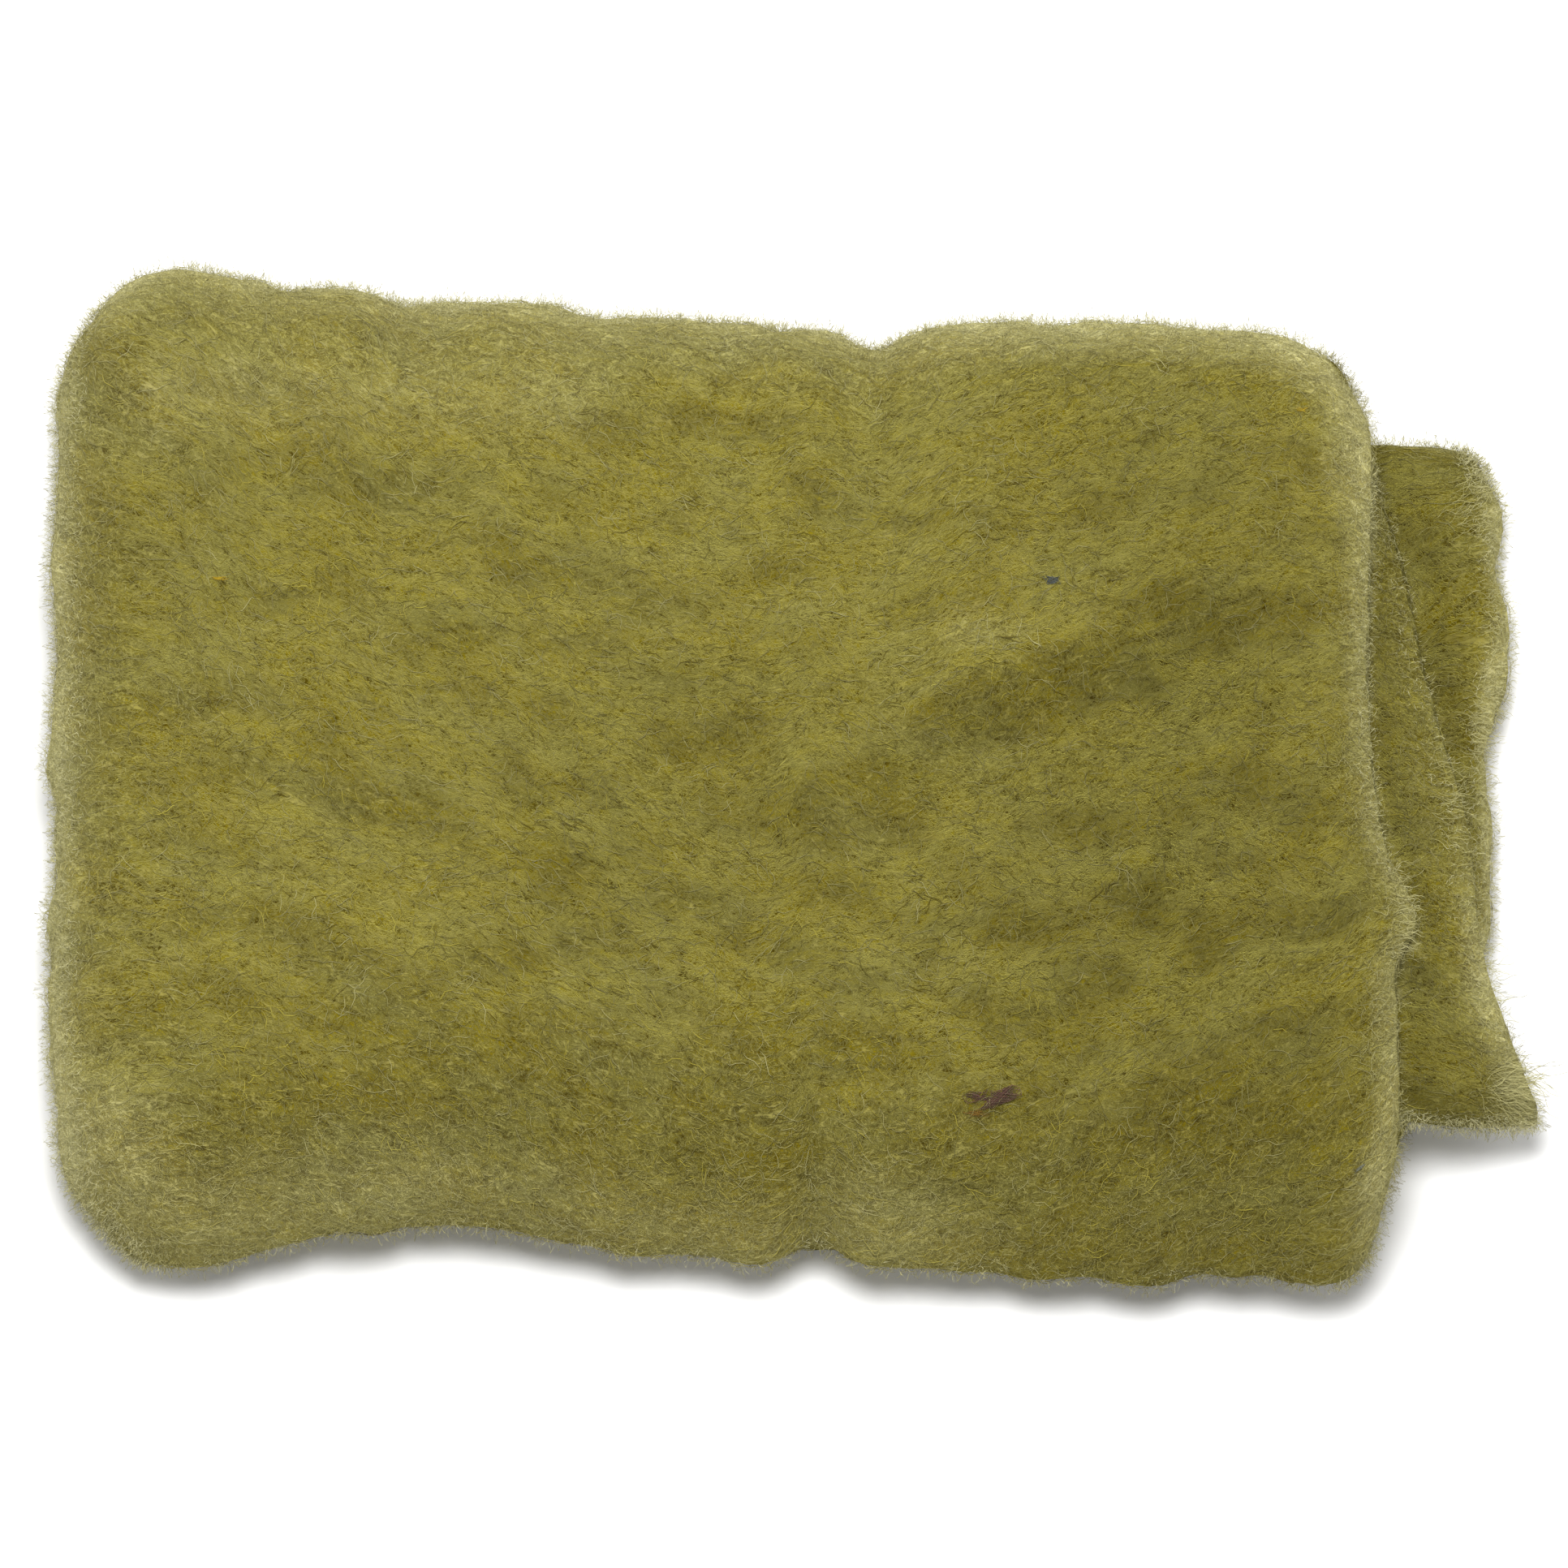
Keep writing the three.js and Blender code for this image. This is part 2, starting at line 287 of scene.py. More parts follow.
def relief(x, y):
    """How high the top layer's ridges and lumps stand."""
    height = np.zeros(np.shape(x))
    for wave_x, wave_y, phase, rise in lumps:
        height += rise * np.sin(2 * np.pi * x / wave_x + phase) * np.cos(2 * np.pi * y / wave_y - phase)
    for x1, y1, x2, y2, rise, width in creases:
        dx, dy = x2 - x1, y2 - y1
        t = np.clip(((x - x1) * dx + (y - y1) * dy) / (dx * dx + dy * dy), 0, 1)
        away = np.hypot(x - x1 - t * dx, y - y1 - t * dy) / width
        height += rise * np.exp(-away * away)
    return height


# Small tufts and hollows of the loose surface, a few mm across
dice = np.random.default_rng(41)
tuft_waves = dice.normal(size=(36, 3))
tuft_waves *= (2 * np.pi / dice.uniform(5, 24, 36) / np.linalg.norm(tuft_waves, axis=1))[:, None]
tuft_phases = dice.uniform(0, 2 * np.pi, 36)
TUFT_HEIGHT = 0.55


def tufts(points):
    waves = np.sin(np.tensordot(points, tuft_waves, (-1, -1)) + tuft_phases)
    return TUFT_HEIGHT * waves.sum(-1) / np.sqrt(18)


def inside_fold(stage_number, t, outer):
    """How far a face is inside a fold, from 0 to 1."""
    share = np.zeros(np.shape(t))
    for number, stage in enumerate(course):
        face = outer == (stage.get("inside") == "outer")
        if "fold" in stage:
            share = np.where((stage_number == number) & face, 1, share)
            before = ease(t, 1 - SQUEEZE_STARTS, 1)
            after = 1 - ease(t, 0, SQUEEZE_STARTS)
            share = np.where((stage_number == number - 1) & face, np.maximum(share, before), share)
            share = np.where((stage_number == number + 1) & face, np.maximum(share, after), share)
    return share


margin_strips = {id(layer): max(layer["margin"], 0.8 * (layer["margin"] + layer["drop"]))
                 for layer in (top_layer, second_layer, third_layer, bottom_layer)}


def half_thickness(along, across, points, outer):
    stage_number = np.clip(np.floor(along), 0, len(course) - 1).astype(int)
    t = along - stage_number
    strip, raised, end = np.zeros(along.shape), np.zeros(along.shape), np.ones(along.shape)
    for number, stage in enumerate(course):
        here = stage_number == number
        if "run" in stage:
            strip[here] = margin_strips[id(stage["run"])]
        else:
            first, last = (margin_strips[id(layer)] for layer in stage["fold"])
            strip[here] = first + (last - first) * t[here]
    on_top, on_tongue = stage_number == 0, stage_number == len(course) - 1
    end[on_top] = rounded(top_reach(across[on_top]) - points[on_top, 0], TOP_END_ROUNDING)
    end[on_tongue] = rounded(tongue_reach(across[on_tongue]) - points[on_tongue, 0], TONGUE_END_ROUNDING)
    raised[on_top] = relief(points[on_top, 0], points[on_top, 1])
    raised *= ease(t, 0, 0.06) * ease(1 - t, 0, 0.08) * outer
    rim = rounded(strip * (1 - np.abs(across)) / (1 - LEVEL_SHARE), EDGE_ROUNDING)
    squeezed = 1 - FOLD_SQUEEZE * inside_fold(stage_number, t, outer)
    return (HALF * squeezed + raised + tufts(points) * squeezed) * rim * end


def skin(along, across, outer):
    """Points on the sheet's outer or inner face, and the way out of it there."""
    small = 1e-3
    s = np.clip(along, small, len(course) - small)
    u = np.clip(across, small - 1, 1 - small)
    slope_along = middle(s + small, u) - middle(s - small, u)
    slope_across = middle(s, u + small) - middle(s, u - small)
    normal = np.cross(slope_across, slope_along)
    normal /= np.linalg.norm(normal, axis=-1, keepdims=True)
    normal *= np.where(outer, 1, -1)[..., None]
    points = middle(along, across)
    half = half_thickness(along, across, points, outer)
    points = points + normal * half[..., None]
    points[..., 2] = np.where(points[..., 2] < 0.08, 0, points[..., 2])
    return points, normal


def near(distance, reach):
    return np.exp(-(distance / reach) ** 2)


def tone(points):
    """Painted light and shade, with some dye, from -1 to 1: painted light at the loose edges and rims,
    painted shade in the hollows beside the edges, on the lower layers and towards the right.
    """
    x, y, z = points[..., 0], points[..., 1], points[..., 2]
    to_end = smooth_line(top_end, np.clip(y, -80, 74)) - x
    to_left = x - smooth_line(left_fold, y)
    to_back = smooth_line(top_layer["outline"], x, 1) - y
    to_front = y - smooth_line(top_layer["outline"], x, 2)
    # Painted light: the top layer paler along its left fold, back edge, front edge and raw end
    on_top = np.maximum.reduce([0.26 * near(to_left, 9) + 0.62 * near(to_left, 3.5),
                                0.5 * near(to_back, 13) + 0.5 * near(to_back, 4),
                                0.28 * near(to_front, 8), 0.6 * near(to_end, 6)])
    # Painted shade: the right part of the top layer darker, less so near its raw end and back edge
    inward = (1 - 0.8 * near(to_end, 9)) * (1 - 0.8 * near(to_back, 16))
    on_top = on_top - 0.54 * ease(x, 20, 85) * inward
    # The patches add pale and deep dye, and painted light and shade on the ridges and troughs
    for x1, y1, x2, y2, amount, width in dye_and_shade_patches:
        dx, dy = x2 - x1, y2 - y1
        t = np.clip(((x - x1) * dx + (y - y1) * dy) / (dx * dx + dy * dy), 0, 1)
        on_top = on_top + amount * near(np.hypot(x - x1 - t * dx, y - y1 - t * dy), width)
    to_tongue = smooth_line(tongue_end, y) - x
    # The tongue: painted light along its own end, painted shade beside the top layer's raw end, and painted
    # shade all over because it lies lower
    on_tongue = (0.45 + 0.6 * ease(-y, 10, 40)) * near(to_tongue, 7) - 0.8 * near(to_end, 7) - 0.32
    past = np.where(y > -61, np.minimum(-to_end, -to_tongue), -to_end)
    to_rim = np.minimum.reduce([
        smooth_line(right_fold, y) - x, smooth_line(bottom_layer["outline"], x, 1) - y,
        y - smooth_line(bottom_layer["outline"], x, 2)])
    # The fold: painted shade in the hollow beside the ends above it, painted light at its rim, and painted
    # shade all over because it lies lower
    painted_hollow_shade = 1.3 * near(past, 10) * (1 - near(to_rim, 5))
    fold_light_and_shade = 0.3 * near(to_rim, 8) + 0.6 * near(to_rim, 3) - painted_hollow_shade - 0.15
    lower = fold_light_and_shade + (on_tongue - fold_light_and_shade) * ease(to_tongue, -2.5, -0.3) * ease(y, -65.5, -62)
    light_shade_dye = lower + (on_top - lower) * ease(to_end, -2.5, -0.3)
    # The painted light fades out towards the floor
    return np.clip(np.where(light_shade_dye > 0, light_shade_dye * ease(z, -1, 4), light_shade_dye), -1, 1)


# Distance along the sheet at each step of its course, and about how wide the sheet is there, in mm
course_steps = np.linspace(0, len(course), 1401)
course_line = middle(course_steps, np.zeros(1401))
course_length = np.concatenate([[0], np.cumsum(np.linalg.norm(np.diff(course_line, axis=0), axis=1))])
TOP_WIDTH, LOWER_WIDTH = 206, 158
sheet_width = np.interp(course_steps, [0, 1, 2, 7], [TOP_WIDTH, TOP_WIDTH, LOWER_WIDTH, LOWER_WIDTH - 14])


def across_at(row):
    """Even steps over the skin, from row 0 at the front edge to 1 at the back edge, as steps of across."""
    level_rows = 0.58
    size = np.abs(2 * row - 1)
    far = LEVEL_SHARE + (1 - LEVEL_SHARE) * (size - level_rows) / (1 - level_rows)
    return np.sign(2 * row - 1) * np.where(size < level_rows, size * LEVEL_SHARE / level_rows, far)


# Stations along the sheet, closest on the top layer and in the folds
TOP_STEPS, TONGUE_STEPS = 110, 58
stage_steps = [TOP_STEPS, 30, 40, 18, 30, 14, TONGUE_STEPS]
stations = np.concatenate([
    number + np.arange(steps) / steps for number, steps in enumerate(stage_steps)
] + [[len(course)]])
stations[:TOP_STEPS + 1] = np.power(np.arange(TOP_STEPS + 1) / TOP_STEPS, 1.25)
stations[-TONGUE_STEPS - 1:] = len(course) - np.power(1 - np.arange(TONGUE_STEPS + 1) / TONGUE_STEPS, 1.35)
ROWS = 84
ring = np.arange(2 * ROWS) / ROWS
ring_row = np.where(ring <= 1, ring, 2 - ring)
ring_row = 0.5 + 0.5 * np.sign(ring_row - 0.5) * (1 - np.power(1 - np.abs(2 * ring_row - 1), 1.2))
ring_across = across_at(ring_row)
along_grid = np.repeat(stations[:, None], 2 * ROWS, axis=1)
across_grid = np.repeat(ring_across[None, :], len(stations), axis=0)
outer_grid = np.repeat((ring < 1)[None, :], len(stations), axis=0)
sheet_points, _ = skin(along_grid, across_grid, outer_grid)
station, place = np.meshgrid(np.arange(len(stations) - 1), np.arange(2 * ROWS), indexing="ij")
corner = station * 2 * ROWS + place
following = station * 2 * ROWS + (place + 1) % (2 * ROWS)
quads = np.stack([corner, corner + 2 * ROWS, following + 2 * ROWS, following], -1).reshape(-1, 4)


def mesh_piece(name, points, faces):
    """A mesh from arrays of points in mm and of faces."""
    mesh = bpy.data.meshes.new(name)
    mesh.vertices.add(len(points))
    mesh.vertices.foreach_set("co", (points * MM).astype(np.float32).ravel())
    sides = faces.shape[1]
    mesh.loops.add(faces.size)
    mesh.loops.foreach_set("vertex_index", faces.astype(np.int32).ravel())
    mesh.polygons.add(len(faces))
    mesh.polygons.foreach_set("loop_start", np.arange(0, faces.size, sides, dtype=np.int32))
    mesh.polygons.foreach_set("use_smooth", np.ones(len(faces), bool))
    mesh.update(calc_edges=True)
    mesh.validate()
    piece = bpy.data.objects.new(name, mesh)
    bpy.context.scene.collection.objects.link(piece)
    return piece


batt = mesh_piece("carded_sheet", sheet_points.reshape(-1, 3), quads)

# The combed sheet's own map: distance along it and across it, in metres
sheet_u = np.interp(along_grid, course_steps, course_length) * MM
sheet_v = (ring_row - 0.5)[None, :] * np.interp(along_grid, course_steps, sheet_width) * MM
lay = batt.data.attributes.new("lay", "FLOAT_VECTOR", "POINT")
lay.data.foreach_set("vector", np.stack(
    [sheet_u, sheet_v, np.where(outer_grid, 0.0, 0.05)], -1).astype(np.float32).ravel())
# The painted light and shade, with some dye, at each point of the skin
light_shade_dye_attribute = batt.data.attributes.new("tone", "FLOAT", "POINT")
light_shade_dye_attribute.data.foreach_set("value", tone(sheet_points).astype(np.float32).ravel())
bpy.ops.object.select_all(action="DESELECT")
bpy.context.view_layer.objects.active = batt
batt.select_set(True)
bpy.ops.object.mode_set(mode="EDIT")
bpy.ops.mesh.select_all(action="SELECT")
bpy.ops.mesh.remove_doubles(threshold=1e-6)
bpy.ops.mesh.normals_make_consistent(inside=False)
bpy.ops.object.mode_set(mode="OBJECT")


class Sock:
    """A shader socket, so that a mask or a height is written as ordinary sums."""

    def __init__(self, tree, socket):
        self.tree, self.socket = tree, socket

    def maths(self, operation, *others):
        return add_node(self.tree, "ShaderNodeMath", {"operation": operation}, (self, *others))

    def __add__(self, other):
        return self.maths("ADD", other)

    def __sub__(self, other):
        return self.maths("SUBTRACT", other)

    def __mul__(self, other):
        return self.maths("MULTIPLY", other)

    def __rsub__(self, other):
        return add_node(self.tree, "ShaderNodeMath", {"operation": "SUBTRACT"}, (other, self))

    __radd__, __rmul__ = __add__, __mul__


def add_node(tree, kind, settings=None, inputs=(), output=0):
    """Adds any node: its settings first, then the values or links of its sockets. Returns one output."""
    node = tree.nodes.new(kind)
    for key, value in (settings or {}).items():
        if key == "stops":
            ramp = node.color_ramp.elements
            while len(ramp) < len(value):
                ramp.new(0.5)
            for stop, (position, colour) in zip(ramp, value):
                stop.position, stop.color = position, (*colour, 1)
        else:
            setattr(node, key, value)
    named = inputs.items() if isinstance(inputs, dict) else enumerate(inputs)
    for key, value in named:
        if isinstance(value, Sock):
            tree.links.new(value.socket, node.inputs[key])
        elif value is not None:
            node.inputs[key].default_value = value
    return Sock(tree, node.outputs[output])


def mix_colours(tree, factor, first, second, blend="MIX"):
    """Colours blended by a mask from 0 to 1."""
    settings = {"data_type": "RGBA", "blend_type": blend}
    return add_node(tree, "ShaderNodeMix", settings, {0: factor, 6: first, 7: second}, 2)


def noise(tree, vector, scale, detail=2, roughness=0.5, distortion=0):
    return add_node(tree, "ShaderNodeTexNoise", None, {
        "Vector": vector, "Scale": scale, "Detail": detail, "Roughness": roughness, "Distortion": distortion})


def soft_step(tree, value, low, high):
    return add_node(tree, "ShaderNodeMapRange", {"interpolation_type": "SMOOTHSTEP"}, {
        "Value": value, "From Min": low, "From Max": high, "To Min": 0, "To Max": 1})


def srgb(red, green, blue):
    """A screen colour, 0 to 255, as the linear colour that shaders use."""
    linear = [c / 255 / 12.92 if c <= 10 else ((c / 255 + 0.055) / 1.055) ** 2.4 for c in (red, green, blue)]
    return (*linear, 1)


# The fibres sweep down, level and then up again along the top layer: the bend's size and spacing, in metres
SWEEP, SWEEP_WAVE, SWEEP_CENTRE = 0.0455, 11.0, 0.113

wool = bpy.data.materials.new("loose_carded_wool")
wool.use_nodes = True
tree = wool.node_tree
shader = tree.nodes["Principled BSDF"]
lay_vector = add_node(tree, "ShaderNodeAttribute", {"attribute_name": "lay"}, (), 1)
along_u, across_v, face_w = (
    add_node(tree, "ShaderNodeSeparateXYZ", None, [lay_vector], part) for part in range(3))
bend = (along_u - SWEEP_CENTRE) * SWEEP_WAVE
swept_v = across_v - SWEEP * (1 - bend.maths("COSINE"))


def combed(stretch, turn=0.0):
    """Places on the sheet, drawn out along the combing or along lines turned from it."""
    u = along_u * np.cos(turn) + swept_v * np.sin(turn)
    v = swept_v * np.cos(turn) - along_u * np.sin(turn)
    return add_node(tree, "ShaderNodeCombineXYZ", None, [u * stretch, v, face_w * 300])


dye_drift = noise(tree, combed(0.55), 75, 3, 0.6)
dye_streaks = noise(tree, combed(0.3), 300, 3, 0.6, 0.6)
clumps = noise(tree, combed(0.6), 480, 3, 0.6, 0.8)
pinholes = noise(tree, combed(0.85), 1250, 2, 0.6, 0.6)


def threads(stretch, turn, scale, curl):
    """Thin curling threads, from 0 between them to 1 on them."""
    field = noise(tree, combed(stretch, turn), scale, 2, 0.45, curl) * 2 - 1
    return 1 - soft_step(tree, field.maths("ABSOLUTE"), 0.0, 0.1)


thread_mask = threads(0.35, 0.0, 620, 1.4)
for stretch, turn, scale in ((0.4, 0.9, 760), (0.4, -0.8, 820), (0.75, 0.3, 1000)):
    thread_mask = thread_mask.maths("MAXIMUM", threads(stretch, turn, scale, 1.8) * 0.9)
olive = srgb(109, 96, 14)
yellow = srgb(131, 118, 16)
grey_green = srgb(116, 111, 57)
# The colour of the painted shade in the gaps between fibres
gap_shade_olive = srgb(52, 40, 0)
pale_thread = srgb(159, 152, 88)
dye_light_and_shade = mix_colours(tree, soft_step(tree, dye_drift, 0.36, 0.64) * 0.8, olive, grey_green)
dye_light_and_shade = mix_colours(tree, soft_step(tree, dye_streaks, 0.46, 0.66) * 0.55, dye_light_and_shade, yellow)
# The painted light and shade, with some dye, from the skin's attribute
light_shade_dye = add_node(tree, "ShaderNodeAttribute", {"attribute_name": "tone"}, (), 2)
pale_dye_and_painted_light, deep_dye_and_painted_shade = light_shade_dye.maths("MAXIMUM", 0.0), (0 - light_shade_dye).maths("MAXIMUM", 0.0)
# Painted shade in the gaps between clumps and fibres, where the bump is low, stronger where the painted shade
# is deep
gap_shade = soft_step(tree, 1 - (pinholes * 0.35 + clumps * 0.65), 0.43, 0.65)
dye_light_and_shade = mix_colours(tree, gap_shade * (deep_dye_and_painted_shade * 0.1 + 0.85), dye_light_and_shade, gap_shade_olive)
dye_light_and_shade = mix_colours(tree, thread_mask * 0.45, dye_light_and_shade, pale_thread)
# Painted light: paler and brighter at the rims and loose edges
dye_light_and_shade = mix_colours(tree, pale_dye_and_painted_light * (clumps * 0.5 + thread_mask * 0.4 + 0.06), dye_light_and_shade, srgb(208, 203, 152))
dye_light_and_shade = mix_colours(tree, pale_dye_and_painted_light, dye_light_and_shade, (1.45, 1.45, 1.5, 1), "MULTIPLY")
# Painted shade: darker in the hollows and on the lower layers
dye_light_and_shade = mix_colours(tree, deep_dye_and_painted_shade, dye_light_and_shade, (0.58, 0.57, 0.48, 1), "MULTIPLY")
height = clumps * 1.25 + pinholes * 0.4 + thread_mask * 0.4
tree.links.new(dye_light_and_shade.socket, shader.inputs["Base Color"])
tree.links.new(add_node(tree, "ShaderNodeBump", None, {
    "Strength": 0.85, "Distance": 0.0012, "Height": height}).socket, shader.inputs["Normal"])
shader.inputs["Roughness"].default_value = 1.0
shader.inputs["Specular IOR Level"].default_value = 0.05
shader.inputs["Sheen Weight"].default_value = 0.5
shader.inputs["Sheen Roughness"].default_value = 0.4
shader.inputs["Sheen Tint"].default_value = srgb(196, 187, 90)
batt.data.materials.append(wool)
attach(batt, "root")
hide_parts("wool_batt")

# The yellow fibres. They are the olive-yellow wool of the blend, crimped every few millimetres. They lie
# about along the combing on the hills and hollows of the skin, held only by the fibres that cross them.
fibre_dice = np.random.default_rng(7)
CRIMP, CRIMP_WAVE = 0.32, 3.9


def comb_slope(u_mm):
    return SWEEP * SWEEP_WAVE * np.sin(SWEEP_WAVE * (u_mm * MM - SWEEP_CENTRE))


def on_skin(u_mm, v_share):
    """Points at distances along the sheet and shares round it: 0 to 1 over its outer face, 1 to 2 back."""
    turned = np.mod(v_share, 2)
    row = np.where(turned <= 1, turned, 2 - turned)
    return skin(np.interp(u_mm, course_length, course_steps), across_at(row), turned <= 1)


def unit(vectors):
    return vectors / (np.linalg.norm(vectors, axis=-1, keepdims=True) + 1e-9)


def tube_points(paths, thickness):
    """Three-sided tubes, pointed at both ends, along paths of the same number of points."""
    count, steps = paths.shape[:2]
    direction = np.gradient(paths, axis=1)
    direction = unit(direction)
    upward = fibre_dice.normal(size=(count, 1, 3))
    side = unit(np.cross(direction, upward))
    other = np.cross(direction, side)
    profile = np.minimum(1, 1.6 * np.sin(np.pi * np.linspace(0, 1, steps)) ** 0.6)[1:-1]
    radius = thickness[:, None, None] * profile[None, :, None]
    rings = [paths[:, 1:-1] + radius * (side[:, 1:-1] * np.cos(a) + other[:, 1:-1] * np.sin(a))
             for a in (0, 2 * np.pi / 3, 4 * np.pi / 3)]
    rings = np.stack(rings, 2).reshape(count, -1, 3)
    points = np.concatenate([paths[:, :1], rings, paths[:, -1:]], 1)
    last = points.shape[1] - 1
    faces = [(0, 1 + (k + 1) % 3, 1 + k) for k in range(3)]
    for ring_number in range(steps - 3):
        a, b = 1 + 3 * ring_number, 4 + 3 * ring_number
        for k in range(3):
            n = (k + 1) % 3
            faces += [(a + k, a + n, b + n), (a + k, b + n, b + k)]
    faces += [(last, last - 3 + k, last - 3 + (k + 1) % 3) for k in range(3)]
    faces = np.array(faces)[None] + (np.arange(count) * points.shape[1])[:, None, None]
    return points.reshape(-1, 3), faces.reshape(-1, 3)


# Broad patches where one dye shows more than the other
patch_waves = fibre_dice.normal(size=(24, 2)) * (0.6, 1)
patch_waves *= (2 * np.pi / fibre_dice.uniform(4.5, 36, 24) / np.linalg.norm(patch_waves, axis=1))[:, None]
patch_phases = fibre_dice.uniform(0, 2 * np.pi, 24)


def fibre_piece(name, material, paths, radius, patches=0.0):
    """One joined mesh of many fibres, each with its own shade, brighter in some patches than in others, and
    with the painted light and shade of the skin where it lies.
    """
    paths[..., 2] = np.maximum(paths[..., 2], 0.1)
    points, faces = tube_points(paths, fibre_dice.uniform(*radius, len(paths)))
    points[:, 2] = np.maximum(points[:, 2], 0.0)
    piece = mesh_piece(name, points, faces)
    shade = piece.data.attributes.new("shade", "FLOAT", "POINT")
    centre = paths[:, paths.shape[1] // 2]
    patch = np.sin(centre[:, :2] @ patch_waves.T + patch_phases).sum(1) / np.sqrt(12)
    # The painted light and shade, with some dye, where each fibre lies
    light_shade_dye = tone(centre)
    per_fibre = np.clip(fibre_dice.uniform(0.28, 0.76, len(paths)) + patches * patch, 0, 1)
    per_point = len(points) // len(paths)
    shade.data.foreach_set("value", np.repeat(per_fibre, per_point).astype(np.float32))
    light_shade_dye_attribute = piece.data.attributes.new("tone", "FLOAT", "POINT")
    light_shade_dye_attribute.data.foreach_set("value", np.repeat(light_shade_dye, per_point).astype(np.float32))
    piece.data.materials.append(material)
    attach(piece, "root")


def fibre_wool(name, deep, bright):
    """Wool of one dye bath: every fibre a shade between deep and bright, painted paler at the rims and
    painted darker in the hollows, as the skin is.
    """
    material = bpy.data.materials.new(name)
    material.use_nodes = True
    fibre_tree = material.node_tree
    fibre_shader = fibre_tree.nodes["Principled BSDF"]
    shade = add_node(fibre_tree, "ShaderNodeAttribute", {"attribute_name": "shade"}, (), 2)
    light_shade_dye = add_node(fibre_tree, "ShaderNodeAttribute", {"attribute_name": "tone"}, (), 2)
    colour = mix_colours(fibre_tree, shade, deep, bright)
    # Painted light at the rims, painted shade in the hollows
    colour = mix_colours(fibre_tree, light_shade_dye.maths("MAXIMUM", 0.0) * 0.6, colour, srgb(196, 191, 140))
    deep_dye_and_painted_shade = (0 - light_shade_dye).maths("MAXIMUM", 0.0)
    colour = mix_colours(fibre_tree, deep_dye_and_painted_shade, colour, (0.58, 0.57, 0.48, 1), "MULTIPLY")
    fibre_tree.links.new(colour.socket, fibre_shader.inputs["Base Color"])
    fibre_shader.inputs["Roughness"].default_value = 0.9
    fibre_shader.inputs["Specular IOR Level"].default_value = 0.1
    fibre_shader.inputs["Sheen Weight"].default_value = 0.35
    fibre_shader.inputs["Sheen Tint"].default_value = srgb(200, 196, 150)
    return material


# Where each stage of the course starts, and where the last one stops, in mm along the sheet
stage_starts = np.interp(np.arange(8), course_steps, course_length)
TOP_START, FOLD_START, BOTTOM_START, RIGHT_START, THIRD_START = stage_starts[:5]
TONGUE_STOP = stage_starts[-1]


def roots(count, places):
    """Distances along and shares round the skin, spread evenly over each place by its share of the fibres."""
    parts = []
    for start, stop, first, last, share in places:
        n = int(round(count * share / sum(place[-1] for place in places)))
        parts.append((fibre_dice.uniform(start, stop, n), fibre_dice.uniform(first, last, n)))
    return [np.concatenate(part) for part in zip(*parts)]


def heading(u_mm, v_share, spread):
    """The combing's angle on the skin, with a spread."""
    slope = comb_slope(u_mm) * np.where(np.mod(v_share, 2) <= 1, 1, -1)
    return np.arctan(slope) + fibre_dice.normal(0, spread, len(u_mm))


def lying_fibres(count, places, length, lift, spread):
    """Short arcs that lie on the skin, about along the combing, and rise a little from it."""
    u0, v0 = roots(count, places)
    n = len(u0)
    width = np.interp(u0, course_length, sheet_width)[:, None]
    angle = heading(u0, v0, spread)[:, None]
    long, bow = fibre_dice.uniform(*length, (n, 1)), fibre_dice.normal(0, 0.055, (n, 1))
    phase = fibre_dice.uniform(0, 2 * np.pi, (n, 1))
    t = np.linspace(-0.5, 0.5, 5)[None] * long
    sideways = bow * t * t + CRIMP * np.sin(2 * np.pi * t / CRIMP_WAVE + phase)
    u = u0[:, None] + t * np.cos(angle) - sideways * np.sin(angle)
    v = v0[:, None] + (t * np.sin(angle) + sideways * np.cos(angle)) / width
    points, way_out = on_skin(np.clip(u, 0, course_length[-1]), v)
    rise = fibre_dice.uniform(*lift, (n, 1)) * (1 - (2 * t / long) ** 2) - 0.1
    return points + way_out * rise[..., None]


# Where fibres lie, most where they show: from and to along the sheet in mm, from and to round it, share
lying_places = [
    (TOP_START, FOLD_START, 0, 1, 60),
    (TOP_START, TOP_START + 14, 1, 2, 3),
    (FOLD_START, BOTTOM_START, 0, 1, 11),
    (BOTTOM_START, RIGHT_START, -0.1, 1.1, 7),
    (RIGHT_START - 14, THIRD_START + 36, 0, 1, 7),
    (TONGUE_STOP - 42, TONGUE_STOP, 1, 2, 7),
    (TONGUE_STOP - 30, TONGUE_STOP, 0, 1, 2),
]
LYING = 10500
fibre_piece(
    "yellow_fibres", fibre_wool("yellow_olive_wool", srgb(86, 74, 4), srgb(160, 149, 58)),
    lying_fibres(LYING, lying_places, (2.4, 6), (0.0, 0.7), 0.85), (0.045, 0.08), 0.26)

# The grey-green fibres. They are the second wool of the blend, dyed a greyer green. They lie over and
# among the yellow ones, a little more loosely, and show most where the yellow ones are dull.
fibre_piece(
    "grey_green_fibres", fibre_wool("grey_green_wool", srgb(88, 80, 20), srgb(164, 158, 106)),
    lying_fibres(LYING, lying_places, (2.4, 6), (0.1, 0.9), 0.95), (0.038, 0.066), -0.2)

# The olive fuzz. It is the wool's own loops and free ends that have worked out of the skin, one or two
# millimetres high, all over the top layer and in the folds.


def skin_frame(u_mm, v_share):
    """Points of the skin, and the ways out of it, along it and round it."""
    u_mm = np.clip(u_mm, 0.3, course_length[-1] - 0.3)
    here = on_skin(u_mm, v_share)[0]
    ahead = unit(on_skin(u_mm + 0.25, v_share)[0] - on_skin(u_mm - 0.25, v_share)[0])
    beside = unit(on_skin(u_mm, v_share + 0.003)[0] - on_skin(u_mm, v_share - 0.003)[0])
    return here, unit(np.cross(beside, ahead)), ahead, beside


